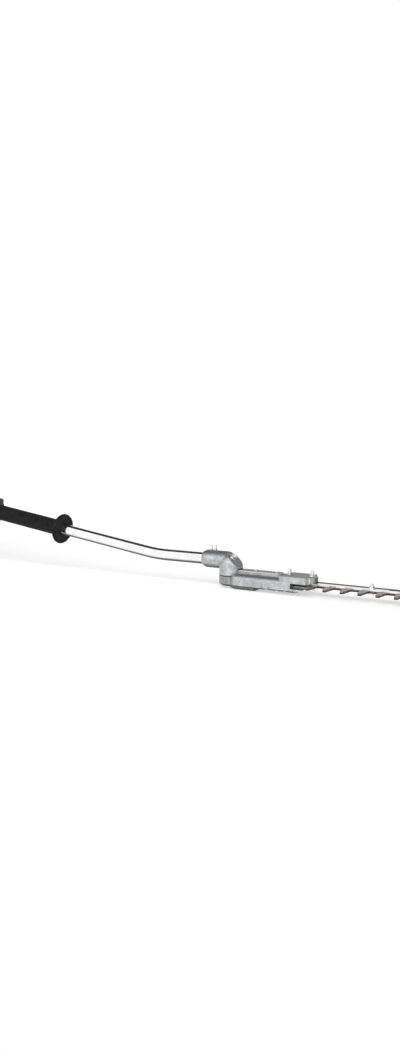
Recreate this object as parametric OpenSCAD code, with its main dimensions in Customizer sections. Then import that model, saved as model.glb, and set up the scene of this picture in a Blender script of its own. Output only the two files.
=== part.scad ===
// Engine-driven hedge trimmer: bent drive tube, cast gear case and single-sided reciprocating blades.
// Millimetres. +X runs to the blade tip, +Z is up, the cutting teeth face -Y, the ground is z = 0.

/* [Drive tube] */
// Outer diameter of the drive tube
tube_d = 25.4; // [22:0.1:30]
// Bore of the drive tube
tube_bore = 22; // [18:0.1:27]
// Height of the front tube axis above the ground
tube_z = 56; // [50:0.5:80]
// Rise of the rear part of the tube towards the engine, degrees
shaft_rise = 8.4; // [0:0.1:20]
// Place of the bend along the machine
bend_x = -187.6; // [-300:0.1:-120]
// Radius of the bend at the tube axis
bend_r = 380; // [80:1:400]
// Tube end inside the engine clamp, measured back from the bend
tube_rear = 667; // [500:1:900]
// Diameter of the flexible drive core
core_d = 6; // [5:0.1:8]

/* [Front grip] */
// Outer diameter of the foam sleeve
grip_d = 37.5; // [32:0.1:45]
// Outer diameter of the hand stop
stop_d = 71; // [60:0.5:90]
// Thickness of the hand stop
stop_t = 11; // [3:0.1:14]
// Front face of the hand stop, measured back from the bend
stop_u = 265; // [200:1:400]
// Length of the sleeve behind the hand stop
grip_len = 197.5; // [150:0.5:300]

/* [Gear case] */
// Radius of the upright column of the gear case
column_r = 25; // [22:0.1:30]
column_x = -4.5; // [-8:0.1:0]
// Radius of the barrel that holds the tube
barrel_r = 18.7; // [16:0.1:25]
// Rear end of the barrel
barrel_x = -67.5; // [-100:0.5:-50]
// Half width of the lower housing
case_half = 28.5; // [26:0.1:35]
// Centre of the round rear end of the lower housing
case_back = 21.5; // [20:0.1:30]
// Height of the joint between the case halves
seam_z = 25; // [22:0.1:28]
// Height of the lower housing ledge
// Height of the front block
block_z = 38; // [36:0.1:45]
// Rear end of the front block
block_x = 118; // [100:1:130]
// Radius of the rounded front of the block
nose_r = 41; // [30:1:60]
// Half width of the raised rib
rib_half = 13; // [12:0.1:16]
// Slope of the flat at the front of the elbow, degrees
facet_slope = 45.6; // [30:0.1:60]

/* [Gears] */
// Distance between the upright shaft and the cam shaft
gear_gap = 36; // [34:0.5:45]
// Module of the spur gears
spur_mod = 2; // [1:0.1:3]
// Teeth of the spur wheel
wheel_teeth = 23; // [18:1:40]
// Teeth of the spur pinion
pinion_teeth = 13; // [10:1:20]
// Teeth of the bevel wheel
bevel_teeth = 21; // [15:1:30]
// Teeth of the bevel pinion
bevel_small = 12; // [9:1:20]
// Offset of the cams from the cam shaft, which is half the blade stroke
throw = 7; // [5:0.1:9]
// Radius of each cam
cam_r = 12.4; // [12.2:0.1:14]

/* [Blades] */
// Thickness of each blade
blade_t = 2.3; // [1.5:0.1:4]
// Underside of the lower blade
blade_z = 18; // [15:0.1:24]
// Thickness of the guide bar
bar_t = 2.6; // [2:0.1:4]
// Half width of the guide bar
bar_half = 14; // [10:0.1:20]
// Half width of the back of each blade
back_half = 12; // [9:0.1:16]
// Spacing of the teeth
tooth_pitch = 35; // [25:0.5:45]
// Number of teeth
teeth = 15; // [8:1:20]
// Place of the first tooth
tooth_x = 185; // [170:0.5:200]
// Reach of the tooth tips from the blade centre line
tooth_y = 45; // [35:0.5:60]
// Spacing of the blade bolts
bolt_step = 122.5; // [80:0.5:160]
// Place of the front bolt in the case
stud_x = 178; // [170:0.5:184]
// Radius of the hanging hole at the bar tip
hang_r = 4; // [2:0.1:5]

/* [Handle] */
// Front end of the control handle, measured back from the bend
handle_u = 476; // [470:1:520]
// Length of the control handle
handle_len = 158; // [120:1:200]
// Half width of the control handle
handle_half = 20; // [17:0.1:26]
// Half height of the control handle
handle_high = 24; // [20:0.1:30]

/* [Engine] */
// Cylinder axis, measured back from the bend
cyl_u = 776; // [700:1:900]
// Cylinder bore radius
bore_r = 17; // [14:0.1:22]
// Piston stroke
stroke = 28; // [20:1:36]
// Radius of the flywheel
fly_r = 40; // [34:0.5:46]
// Height of the fuel tank
tank_h = 46; // [40:1:60]
// Half width of the fuel tank
tank_half = 48; // [35:1:60]

/* [Output] */
// Piece to draw, or all of them

/* [Hidden] */
$fn = 64;
gap = 0.3;
fit = 0.08;
tube_r = tube_d / 2;
bend_lap = 0.3;
bend_step = 0.05;
blade2_z = blade_z + blade_t + gap;
bar_z = blade2_z + blade_t + gap;
bar_top = bar_z + bar_t;
bar_end = tooth_x + tooth_pitch * (teeth - 1) + 24;
wheel_r = spur_mod * wheel_teeth / 2;
spur_r = spur_mod * pinion_teeth / 2;
bevel_r = 14;
bevel_apex = 8;
spur_z = 24;
dome_h = 28.7;
pod_end = 60;
rib_top = 36.5;
spur_w = 4;
cam_x = column_x + gear_gap;
tube_front = column_x - 34;
slot_half = 4.3;
sweep_r = cam_r + throw + gap;
yoke_r = sweep_r + 3.5;
cyl_base = 34;
tank_top = -54;
cap_w = tank_top - 23;
cyl_top = 104;
pin_w = stroke / 2;
wrist_w = 80;
stand_x = bend_x - cyl_u * cos(shaft_rise);
// the origin is the middle of the footprint of the whole machine
origin_x = -161.251;
origin_y = 6;

// ---------- frames and small helpers ----------

// places the machine on its origin
module machine() {
    translate([-origin_x, -origin_y, 0]) children();
}

// places things on the rising part of the shaft: x is minus the distance behind the bend
module on_shaft() {
    machine() translate([bend_x, 0, tube_z]) rotate([0, shaft_rise, 0]) children();
}

// a round bar along the shaft from u0 to u1
module bar_u(u0, u1, r) {
    translate([-u1, 0, 0]) rotate([0, 90, 0]) cylinder(r = r, h = u1 - u0);
}

// a cone along the shaft, r0 at u0 and r1 at u1
module cone_u(u0, u1, r0, r1) {
    translate([-u1, 0, 0]) rotate([0, 90, 0]) cylinder(r1 = r1, r2 = r0, h = u1 - u0);
}

// a round bar along X from x0 to x1
module bar_x(x0, x1, r) {
    translate([x0, 0, 0]) rotate([0, 90, 0]) cylinder(r = r, h = x1 - x0);
}

// a box given by its low and high corners
module span(lo, hi) {
    translate(lo) cube(hi - lo);
}

// a box on the shaft given by distances behind the bend, y and w limits
module span_u(u, y, w) {
    span([-u[1], y[0], w[0]], [-u[0], y[1], w[1]]);
}

// a block along the shaft with rounded long edges
module soft_u(u, y, w, r) {
    translate([-u[1], 0, 0]) rotate([90, 0, 90]) linear_extrude(u[1] - u[0])
        translate([y[0] + r, w[0] + r]) rounded(y[1] - y[0] - 2 * r, w[1] - w[0] - 2 * r, r);
}

// a rectangle with round corners, its core rectangle starting at the origin
module rounded(a, b, r) {
    translate([-r, 0]) square([a + 2 * r, b]);
    translate([0, -r]) square([a, b + 2 * r]);
    for (x = [0, a], y = [0, b]) translate([x, y]) circle(r);
}

// a flat oval: two circles of radius r at +-half joined
module oval(half, r) {
    for (s = [-half, half]) translate([s, 0]) circle(r);
    translate([-half, -r]) square([2 * half, 2 * r]);
}

// a ring of a ball bearing
module bearing(od, id, w) {
    difference() {
        cylinder(d = od, h = w);
        translate([0, 0, -1]) cylinder(r = id / 2 + fit, h = w + 2);
        translate([0, 0, w - 0.4]) ring(od / 2 - 1.6, id / 2 + 1.6, 1);
        translate([0, 0, -0.6]) ring(od / 2 - 1.6, id / 2 + 1.6, 1);
    }
}

// a flat ring
module ring(ro, ri, h) {
    difference() {
        cylinder(r = ro, h = h);
        translate([0, 0, -1]) cylinder(r = ri, h = h + 2);
    }
}

// a socket-head screw pointing down from z = 0
module cap_screw(r, head_r, head_h, len) {
    difference() {
        cylinder(r = head_r, h = head_h);
        translate([0, 0, head_h / 2]) cylinder(r = head_r * 0.55, h = head_h, $fn = 6);
    }
    translate([0, 0, -len]) cylinder(r = r, h = len + 0.1);
}

// a gear outline with straight-sided teeth
module gear_2d(pitch_r, count, up, down, half, phase, flank = 0.36) {
    circle(pitch_r - down);
    tip = half - up * flank;
    root = half + down * flank;
    for (k = [0 : count - 1]) rotate(phase + k * 360 / count)
        polygon([[pitch_r - down - 1, -root], [pitch_r - down, -root], [pitch_r + up, -tip],
            [pitch_r + up, tip], [pitch_r - down, root], [pitch_r - down - 1, root]]);
}

// ---------- tube and grip ----------

// a bent round bar along the tube axis, from x_front to u_rear; the bend laps over the straight parts
module bent_bar(r, x_front, u_rear) {
    lead = bend_r * tan(shaft_rise / 2);
    machine() translate([0, 0, tube_z]) bar_x(bend_x + lead, x_front, r);
    on_shaft() bar_u(lead, u_rear, r);
    machine() translate([bend_x + lead, 0, tube_z + bend_r]) rotate([90, 0, 0])
        rotate([0, 0, 270 - shaft_rise - bend_lap]) rotate_extrude(angle = shaft_rise + 2 * bend_lap)
            translate([bend_r, 0]) circle(r + bend_step);
}

module main_tube() color("Silver") difference() {
    bent_bar(tube_r, tube_front, tube_rear);
    bent_bar(tube_bore / 2, tube_front + 1, tube_rear + 1);
}

module shaft_liner() color("White") difference() {
    bent_bar(tube_bore / 2, -64, 634);
    bent_bar(core_d / 2 + 0.6, -63, 635);
}

module flex_core() color("DimGray") bent_bar(core_d / 2, -47, 651);

module front_grip() color("Black") on_shaft() difference() {
    union() {
        bar_u(stop_u + stop_t - 1, stop_u + stop_t + grip_len, grip_d / 2);
        bar_u(stop_u, stop_u + stop_t, stop_d / 2 - stop_t / 2);
        translate([-stop_u - stop_t / 2, 0, 0]) rotate([0, 90, 0]) rotate_extrude()
            translate([stop_d / 2 - stop_t / 2, 0]) circle(d = stop_t);
        cone_u(stop_u + stop_t - 1, stop_u + stop_t + 9, grip_d / 2 + 6, grip_d / 2);
    }
    bar_u(stop_u - 1, stop_u + stop_t + grip_len + 1, tube_r);
}

// ---------- gear case ----------

// plan of the block with its rounded nose
module block_2d() {
    intersection() {
        translate([stud_x + 8 - nose_r, 0]) circle(nose_r, $fn = 96);
        translate([block_x, -case_half]) square([100, 2 * case_half]);
    }
    translate([block_x, -case_half]) square([32, 2 * case_half]);
}

// upright column with its domed top
module column_top() translate([column_x, 0, 0]) {
    translate([0, 0, seam_z]) cylinder(r = column_r, h = 20);
    translate([0, 0, seam_z + 20]) rotate_extrude() intersection() {
        scale([column_r, dome_h]) circle(1, $fn = 96);
        square([column_r, dome_h]);
    }
}

// space above the sloping flat of the elbow
module facet_cut() {
    on_facet() translate([-40, -50, 0]) cube([120, 100, 60]);
}

module elbow() difference() {
    union() {
        translate([0, 0, tube_z]) bar_x(barrel_x + 7, 0, barrel_r);
        translate([0, 0, tube_z]) translate([barrel_x, 0, 0]) rotate([0, 90, 0])
            cylinder(r1 = barrel_r - 2.5, r2 = barrel_r, h = 7.01);
        translate([0, 0, tube_z]) sphere(barrel_r);
        column_top();
        for (x = clamp_at) translate([x, 0, tube_z + 10]) cylinder(r = 4, h = 10.6);
    }
    facet_cut();
}

// room for the gears, cams and blades
module gear_room() {
    translate([column_x, 0, 0]) {
        translate([0, 0, 23.5]) cylinder(r = spur_r + 2.4, h = 5);
        translate([0, 0, 28.4]) cylinder(r = 11, h = 13.2);
        translate([0, 0, 41.5]) cylinder(r = 17.2, h = 7);
        translate([0, 0, 48.49]) cylinder(r1 = 17.2, r2 = 12, h = 5);
        translate([0, 0, tube_z]) bar_x(-34, -12.9, 11);
        translate([-13, 0, tube_z]) rotate([0, 90, 0]) cylinder(r1 = 11, r2 = 6, h = 14);
    }
    translate([cam_x, 0, 0]) {
        translate([0, 0, 23.5]) cylinder(r = wheel_r + 2.4, h = 5);
        translate([0, 0, 28.4]) cylinder(r = 12, h = 11.9);
        translate([0, 0, 17.6]) linear_extrude(6) oval(2 * throw, yoke_r + 0.4);
        translate([0, 0, 12.9]) cylinder(r = 8, h = 5);
        translate([0, 0, 6.5]) cylinder(r = 12, h = 6.5);
    }
    span([55, -bar_half, 17.6], [200, bar_half, bar_top]);
}

// half section of the rounded shoulder above the seam
shoulder = [[0, seam_z], [case_half, seam_z], [case_half, 27.2], [case_half - 2, 29.6],
    [case_half - 7.5, 31.2], [case_half - 12.5, 31.8], [0, 31.8]];

module shoulders() {
    translate([case_back, 0, 0]) rotate_extrude() polygon(shoulder);
    for (s = [0, 1]) translate([case_back, 0, 0]) mirror([0, s, 0]) rotate([90, 0, 90])
        linear_extrude(block_x - case_back + 1) polygon(shoulder);
}

screw_at = [[-16, 14.8], [-16, -14.8], [88, 22], [88, -22], [128, -22], [158, 20]];
cover_at = [54, 101];
stud_at = [129.5, stud_x];
clamp_at = [-52.3, -41.8];

module gear_case_upper() color("Gainsboro") machine() difference() {
    union() {
        elbow();
        shoulders();
        translate([0, 0, seam_z]) linear_extrude(block_z - seam_z) block_2d();
        span([20, -rib_half, seam_z], [block_x + 1, rib_half, rib_top]);
        translate([20, 0, seam_z]) cylinder(r = rib_half, h = rib_top - seam_z);
    }
    gear_room();
    translate([0, 0, rib_top]) linear_extrude(5) cover_2d(rib_half - 0.5);
    translate([0, 0, tube_z]) bar_x(barrel_x - 1, tube_front, tube_r);
    for (p = screw_at) translate([p[0], p[1], seam_z - 1]) cylinder(r = 2, h = 7);
    for (x = cover_at) translate([x, 0, 31.3]) cylinder(r = 2.5, h = 12);
    for (x = stud_at) translate([x, 0, seam_z - 1]) cylinder(r = 3, h = 20);
    for (x = clamp_at) translate([x, 0, tube_z]) cylinder(r = 2, h = 30);
    on_facet() translate([0, 0, -14]) cylinder(r = 4, h = 15);
    on_facet() translate([0, 0, -1.5]) cylinder(r = 8.5, h = 5);
}

// frame of the grease plug on the sloping flat
module on_facet() {
    translate([0, 0, 62.9]) rotate([0, facet_slope, 0]) children();
}

// foot of the column, rounded underneath
module column_foot() translate([column_x, 0, 0]) {
    translate([0, 0, 8.5]) cylinder(r = column_r, h = seam_z - 8.5);
    translate([0, 0, 5]) cylinder(r1 = column_r - 4, r2 = column_r, h = 3.5);
}

// half section of the pod under the gears
pod_side = [[0, 0], [18, 0], [case_half - 6, 1], [case_half - 2.5, 3.6], [case_half, 8.5], [case_half, seam_z],
    [0, seam_z]];

module pod() {
    translate([case_back, 0, 0]) rotate_extrude() polygon(pod_side);
    for (s = [0, 1]) translate([case_back, 0, 0]) mirror([0, s, 0]) rotate([90, 0, 90])
        linear_extrude(pod_end - case_back) polygon(pod_side);
}

module gear_case_lower() color("LightGray") machine() difference() {
    union() {
        column_foot();
        pod();
        translate([0, 0, 8]) linear_extrude(seam_z - 8) block_2d();
        span([pod_end - 1, -case_half, 8.5], [block_x + 1, case_half, seam_z]);
        span([pod_end + 6, -24, 6.4], [108, 24, 9]);
        span([114, -24, 6], [150, 24, 9]);
    }
    gear_room();
    span([142, -60, 13.5], [200, -bar_half + 1, seam_z + 1]);
    translate([150, -50, 4]) rotate([0, -26, 0]) translate([0, 0, -20]) cube([80, 100, 20]);
    for (p = screw_at) translate([p[0], p[1], -1]) cylinder(r = 2, h = 40);
    for (p = screw_at) translate([p[0], p[1], -1]) cylinder(r = 4, h = 12.8);
    for (x = stud_at) translate([x, 0, 0]) cylinder(r = 3, h = 30);
    for (x = stud_at) translate([x, 0, 0]) cylinder(r = 6, h = 14);
}

module case_screws() color("DimGray") machine()
    for (p = screw_at) translate([p[0], p[1], 11.8]) rotate([180, 0, 0]) cap_screw(2, 3.8, 4, 18.5);

module short_screws() color("WhiteSmoke") machine() {
    for (x = cover_at) translate([x, 0, rib_top + 2.5]) cap_screw(2.5, 4, 2.6, 7.5);
    for (x = clamp_at) translate([x, 0, tube_z + 20.6]) cap_screw(2, 2.7, 9, 7.6);
}

module grease_plug() color("WhiteSmoke") machine() on_facet() translate([0, 0, -1.5]) {
    cylinder(r = 7.9, h = 1.8);
    difference() {
        cylinder(r = 6.8, h = 6.6, $fn = 6);
        translate([0, 0, 5.8]) cylinder(r = 3.4, h = 2);
    }
    translate([0, 0, -7]) cylinder(r = 4, h = 7.1);
}

module cover_2d(r) {
    translate([24, 0]) circle(r);
    translate([24, -r]) square([80, 2 * r]);
    translate([104, 0]) circle(r);
}

module cam_cover() color("WhiteSmoke") machine() difference() {
    translate([0, 0, rib_top]) linear_extrude(2.5) cover_2d(rib_half - 1);
    for (x = cover_at) translate([x, 0, 36]) cylinder(r = 2.5, h = 5);
    for (y = [-5, 5]) translate([0, y, 38.4]) span([62, -0.8, 0], [94, 0.8, 1]);
}

module nose_plate() color("WhiteSmoke") machine() intersection() {
    translate([stud_x + 8 - nose_r, 0, bar_top + 0.6]) ring(nose_r + 1.6, nose_r, 11.2);
    span([150, -22, bar_top], [200, 22, 60]);
}

// ---------- gears ----------

module bevel_pinion() color("SlateGray") machine() translate([column_x, 0, tube_z]) difference() {
    union() {
        translate([-bevel_r, 0, 0]) rotate([0, 90, 0])
            linear_extrude(6, scale = (bevel_r - 6) / bevel_r)
                gear_2d(bevel_apex, bevel_small, 1.2, 1.9, 0.7, 0, 0.3);
        bar_x(-16.5, -bevel_r + 0.01, 6.5);
        bar_x(-32, -16, 4);
        bar_x(-58, -31.5, 6);
    }
    bar_x(-59, -42, core_d / 2 + 0.4);
}

module gear_bearings() color("LightSteelBlue") machine() translate([column_x, 0, 0]) {
    for (x = [-29, -22]) translate([x, 0, tube_z]) rotate([0, 90, 0]) bearing(22, 8, 5);
    for (z = [30.6, 36.2]) translate([0, 0, z]) bearing(22, 8, 5);
}

module bevel_gear() color("SlateGray") machine() translate([column_x, 0, 0]) difference() {
    union() {
        translate([0, 0, tube_z - bevel_apex]) linear_extrude(3.2, scale = (bevel_apex - 3.2) / bevel_apex)
            gear_2d(bevel_r, bevel_teeth, 2.1, 3.3, 0.7, 180 + 180 / bevel_teeth, 0.18);
        translate([0, 0, tube_z - bevel_apex - 3]) cylinder(r = 9.2, h = 3.6);
        translate([0, 0, 42]) cylinder(r = 7, h = 4);
    }
    translate([0, 0, 40]) cylinder(r = 4, h = 20);
}

module counter_shaft() color("SlateGray") machine() translate([column_x, 0, 0]) {
    translate([0, 0, spur_z]) cylinder(r = 4, h = 27);
    translate([0, 0, spur_z]) linear_extrude(spur_w)
        gear_2d(spur_r, pinion_teeth, 1.6, 2.5, 1.2, 180 / pinion_teeth);
}

module cam_gear() color("SlateGray") machine() translate([cam_x, 0, 0]) {
    translate([0, 0, 7]) cylinder(r = 5, h = 29);
    translate([0, 0, spur_z]) linear_extrude(spur_w) difference() {
        gear_2d(wheel_r, wheel_teeth, 1.6, 2.5, 1.2, 180);
        for (a = [30 : 60 : 330]) rotate(a) translate([13.5, 0]) circle(3);
    }
    translate([0, throw, blade2_z + 0.1]) cylinder(r = cam_r, h = blade_t - 0.2);
    translate([0, -throw, blade_z + 0.1]) cylinder(r = cam_r, h = blade_t - 0.2);
    translate([0, 0, blade2_z + blade_t]) cylinder(r = 7, h = spur_z - blade2_z - blade_t + 0.1);
}

module cam_bearings() color("LightSteelBlue") machine() translate([cam_x, 0, 0]) {
    translate([0, 0, 30.5]) bearing(24, 10, 6);
    translate([0, 0, 6.5]) bearing(24, 10, 6);
}

// ---------- blades ----------

// one tooth in plan, pointing to -Y
module tooth_2d() {
    polygon([[-10, -back_half + 1], [-10, -back_half], [-7.6, -back_half - 4], [-3.4, -tooth_y + 1.5],
        [-2.2, -tooth_y], [2.2, -tooth_y], [3.4, -tooth_y + 1.5], [7.6, -back_half - 4],
        [10, -back_half], [10, -back_half + 1]]);
}

// plan of a blade with its cam window, teeth and guide slots
module blade_2d() difference() {
    union() {
        translate([cam_x, 0]) oval(throw, yoke_r);
        translate([cam_x + yoke_r - 6, -back_half]) square([bar_end - cam_x - yoke_r - 2, 2 * back_half]);
        for (k = [0 : teeth - 1]) translate([tooth_x + k * tooth_pitch, 0]) tooth_2d();
    }
    translate([cam_x, 0]) oval(throw, sweep_r);
    for (x = bolt_places()) translate([x, 0]) oval(throw, slot_half);
    for (x = [86, 104]) translate([x, 0]) circle(4);
}

function bolt_places() = concat(stud_at, [for (k = [1 : 4]) stud_x + k * bolt_step]);

// wedges that grind the two edges of every tooth, working on the face at z = 0 from above
module grind() {
    for (k = [0 : teeth - 1], s = [-1, 1])
        translate([tooth_x + k * tooth_pitch + s * 3.4, -tooth_y + 1.5, 0])
            rotate([0, 0, s * -8.2]) rotate([0, s * 38, 0]) translate([s > 0 ? -1.1 : -4.9, -3, 0])
                cube([6, 33, 3]);
}

module upper_blade() color("LightSlateGray") machine() translate([0, 0, blade2_z]) difference() {
    linear_extrude(blade_t) blade_2d();
    translate([0, 0, blade_t]) grind();
}

module lower_blade() color("LightSlateGray") machine() translate([0, 0, blade_z]) difference() {
    linear_extrude(blade_t) blade_2d();
    mirror([0, 0, 1]) grind();
}

module guide_bar() color("WhiteSmoke") machine() translate([0, 0, bar_z]) linear_extrude(bar_t)
    difference() {
        union() {
            translate([96, -bar_half]) square([bar_end - 96 - bar_half + 10, 2 * bar_half]);
            translate([bar_end - bar_half + 10, 0]) circle(bar_half);
        }
        for (x = stud_at) translate([x, 0]) circle(3);
        for (k = [1 : 4]) translate([stud_x + k * bolt_step, 0]) circle(3);
        for (k = [1 : 3]) translate([stud_x + (k + 0.5) * bolt_step, 0]) oval(24, 4);
        translate([bar_end + 2, 0]) circle(hang_r);
    }

module blade_bolts() color("Gray") machine() for (k = [1 : 4])
    translate([stud_x + k * bolt_step, 0, 0]) {
        translate([0, 0, blade_z - gap - 1.2]) cylinder(r = 8.5, h = 1.2);
        translate([0, 0, blade_z - gap - 4.4]) cylinder(r = 5.5, h = 3.3, $fn = 6);
        translate([0, 0, blade_z - gap - 1]) cylinder(r = 4, h = bar_z - blade_z + gap + 1);
        translate([0, 0, bar_z - 1]) cylinder(r = 3, h = bar_t + 11);
    }

module bar_studs() color("Gray") machine() for (x = stud_at) translate([x, 0, 0]) {
    translate([0, 0, 10]) cylinder(r = 5.5, h = 4, $fn = 6);
    translate([0, 0, 13]) cylinder(r = 3, h = block_z + 13 - 13);
}

module nut_at(x, z) translate([x, 0, z]) difference() {
    union() {
        cylinder(r = 5.7, h = 5, $fn = 6);
        cylinder(r = 6.6, h = 1);
    }
    translate([0, 0, -1]) cylinder(r = 3, h = 8);
}

module hex_nuts() color("WhiteSmoke") machine() {
    for (x = stud_at) nut_at(x, block_z);
    for (k = [1 : 4]) nut_at(stud_x + k * bolt_step, bar_top);
}

// ---------- control handle ----------

handle_end = handle_u + handle_len;
trig_pivot = [572, -18.2];
lock_pivot = [604, 18.2];

module handle_body() difference() {
    union() {
        soft_u([handle_u, handle_end], [-handle_half, handle_half], [-handle_high, handle_high], 13);
        soft_u([handle_u, handle_u + 52], [-16, 16], [0, 33], 8);
        translate([-handle_u - 52, 0, 0]) rotate([0, -14, 0]) translate([-40, -16, 14])
            cube([40, 32, 18]);
        soft_u([502, 520], [-10, 10], [-44, 0], 6);
        soft_u([596, 614], [-10, 10], [-38, 0], 6);
    }
    bar_u(handle_u - 1, handle_end + 1, tube_r);
    span_u([521, 594], [-4.4, 4.4], [-60, 0]);
    span_u([548, 612], [-3.9, 3.9], [0, 60]);
    span_u([485, 505], [-5, 5], [30.4, 40]);
    span_u([530, 600], [-13, 13], [-20, -14]);
    for (p = handle_holes) translate([-p[0], 0, p[1]]) rotate([90, 0, 0])
        cylinder(r = 2, h = 80, center = true);
    for (p = handle_holes) translate([-p[0], -12, p[1]]) rotate([90, 0, 0]) cylinder(r = 3.8, h = 30);
}

handle_holes = [[490, -18.5], [490, 21], [508, -36], [624, -18.3], [624, 18.3]];

module lever_bosses(y0, y1) {
    for (p = [trig_pivot, lock_pivot]) translate([-p[0], y0, p[1]]) rotate([-90, 0, 0])
        cylinder(r = 2, h = y1 - y0);
}

module handle_left() color("DarkSlateGray") on_shaft() {
    intersection() {
        handle_body();
        span_u([400, 700], [0, 80], [-80, 80]);
    }
    lever_bosses(0, 16);
}

module handle_right() color("DarkSlateGray") on_shaft() {
    intersection() {
        handle_body();
        span_u([400, 700], [-80, 0], [-80, 80]);
    }
    lever_bosses(-16, 0);
}

module handle_screws() color("Gray") on_shaft() for (p = handle_holes)
    translate([-p[0], -12, p[1]]) rotate([90, 0, 0]) cap_screw(2, 3.6, 3, 22);

// outline of the trigger in the plane of the shaft, x to the rear
module trigger_2d() difference() {
    union() {
        translate(trig_pivot) circle(4.6);
        polygon([[572, -14.5], [534, -22], [528, -27], [527, -41], [531, -43], [537, -37],
            [552, -32.5], [568, -31], [580, -24], [577, -17]]);
    }
    translate(trig_pivot) circle(2 + gap);
}

module lockout_2d() difference() {
    union() {
        translate(lock_pivot) circle(4.6);
        polygon([[604, 22.8], [588, 29], [566, 34], [556, 31], [553, 26], [566, 27.5], [586, 22],
            [601, 14.6]]);
    }
    translate(lock_pivot) circle(2 + gap);
}

module lever(half) {
    mirror([1, 0, 0]) rotate([90, 0, 0]) translate([0, 0, -half]) linear_extrude(2 * half) children();
}

module throttle_trigger() color("Black") on_shaft() lever(4) trigger_2d();

module trigger_lockout() color("Black") on_shaft() lever(3.5) lockout_2d();

module stop_switch() color("Red") on_shaft() {
    span_u([488, 502], [-4.6, 4.6], [30.8, 34]);
    for (u = [490, 494.5, 499]) span_u([u, u + 1.5], [-4.6, 4.6], [33, 35.2]);
}

// a round bar through the listed points, with ball corners
module run(points, r) {
    for (k = [0 : len(points) - 2]) {
        a = points[k];
        d = points[k + 1] - a;
        translate(a) rotate([0, acos(d[2] / norm(d)), atan2(d[1], d[0])]) {
            cylinder(r = r, h = norm(d));
            if (k > 0) sphere(r * 1.08);
        }
    }
}

cable_route = [[-handle_end - 2.9, 16, 14], [-664, 34, 20], [-692, 51, 28], [-744, 51, 28],
    [-752, 51, 60], [-758.9, 51, 60]];

module throttle_cable() color("Black") on_shaft() run(cable_route, 2.5);

// eye that holds the cable against a round housing of radius r
module cable_eye(u0, u1, r) {
    translate([0, 51, 28]) bar_u(u0, u1, 5.2);
    rotate([-61.2, 0, 0]) span_u([u0, u1], [-3.5, 3.5], [r - 3, 57]);
}

module cable_hole() translate([0, 51, 28]) bar_u(694, 743, 2.6);

// ---------- power unit ----------

module clutch_housing() color("Silver") on_shaft() difference() {
    union() {
        bar_u(640, 669, 19);
        cone_u(668, 688, 19, 39);
        bar_u(688, 703, 39);
        bar_u(702, 706, 47);
        soft_u([642, 664], [-6, 6], [-27, 0], 3);
        for (a = [45 : 90 : 315]) rotate([a, 0, 0]) span_u([664, 704], [-2, 2], [15, 42]);
        cable_eye(702, 706, 46);
    }
    cable_hole();
    bar_u(630, 669, tube_r);
    bar_u(660, 672, 7);
    bar_u(671, 679, 13);
    bar_u(679, 710, 35);
    span_u([630, 668], [-1, 1], [-40, 0]);
    for (a = [60 : 60 : 300]) rotate([a, 0, 0]) span_u([690, 699], [-6, 6], [30, 50]);
}

module engine_bearings() color("LightSteelBlue") on_shaft() for (u = [679, 756, 804])
    translate([-u, 0, 0]) rotate([0, 90, 0]) bearing(26, 12, 8);

module clutch_drum() color("SteelBlue") on_shaft() difference() {
    union() {
        bar_u(681, 702, 31);
        bar_u(669, 682, 6);
        bar_u(640, 670, 5);
    }
    bar_u(683.5, 703, 28.5);
    bar_u(639, 656, core_d / 2 + 0.4);
    for (a = [0 : 60 : 300]) rotate([a, 0, 0]) translate([-684, 0, 19]) rotate([0, 90, 0])
        translate([0, 0, -1]) cylinder(r = 4, h = 6);
}

module clutch_shoes() color("DarkGray") on_shaft() difference() {
    bar_u(687, 700, 27.5);
    bar_u(686, 701, 13);
    span_u([686, 701], [-3, 3], [-40, 40]);
    for (s = [-1, 1]) translate([-702, s * 18, 0]) rotate([0, 90, 0]) cylinder(r = 3, h = 20);
}

module flywheel() color("DarkGray") on_shaft() difference() {
    union() {
        bar_u(722, 727, fly_r);
        bar_u(712, 744, 12);
        bar_u(702, 713, 25);
        for (s = [-1, 1]) translate([0, s * 18, 0]) bar_u(686, 703, 3);
        for (a = [0 : 30 : 330]) rotate([a, 0, 0]) span_u([713, 723], [-1, 1], [24, fly_r]);
        for (a = [60, 240]) rotate([a, 0, 0]) span_u([722, 734], [-8, 8], [26, fly_r - 2]);
    }
    bar_u(700, 745, 6);
}

module fan_housing() color("DarkSlateGray") on_shaft() difference() {
    union() {
        bar_u(706, 746, 53);
        span_u([716, 736], [-17, 17], [40, 56]);
        cable_eye(737, 742, 53);
    }
    cable_hole();
    bar_u(709, 743.5, 50);
    bar_u(705, 710, 36);
    bar_u(743, 747, 37);
    span_u([718, 731], [-6, 6], [45, 60]);
    for (a = [20 : 20 : 340]) if (abs(a - 180) > 30) rotate([a, 0, 0])
        span_u([715, 735], [-4, 4], [a < 40 || a > 320 ? 70 : 40, 80]);
}

module ignition_coil() color("DimGray") on_shaft() {
    span_u([718, 731], [-5.7, 5.7], [40.6, 49.6]);
    span_u([719, 730], [-14, 14], [40.6, 45.8]);
    run([[-724, 0, 49], [-732, 0, 66], [-738.4, 0, 82], [-738.4, 0, 124], [-748, 0, 131],
        [-760, 0, 131]], 2.4);
}

module crankcase() difference() {
    union() {
        bar_u(746, 806, 36);
        span_u([746, 806], [-28, 28], [-36, 0]);
        span_u([746, 806], [-29, 29], [0, cyl_base]);
        span_u([764, 775.5], [26, 48], [-26, -20]);
    }
    bar_u(758, 794, 29.3);
    bar_u(740, 810, 8);
    bar_u(748, 758, 13);
    bar_u(794, 804, 13);
    span_u([740, 812], [-60, 60], [cyl_base, 60]);
    translate([-cyl_u, 0, 0]) cylinder(r = bore_r + 1, h = 60);
    run(hose_route, 2.65);
}

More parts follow.
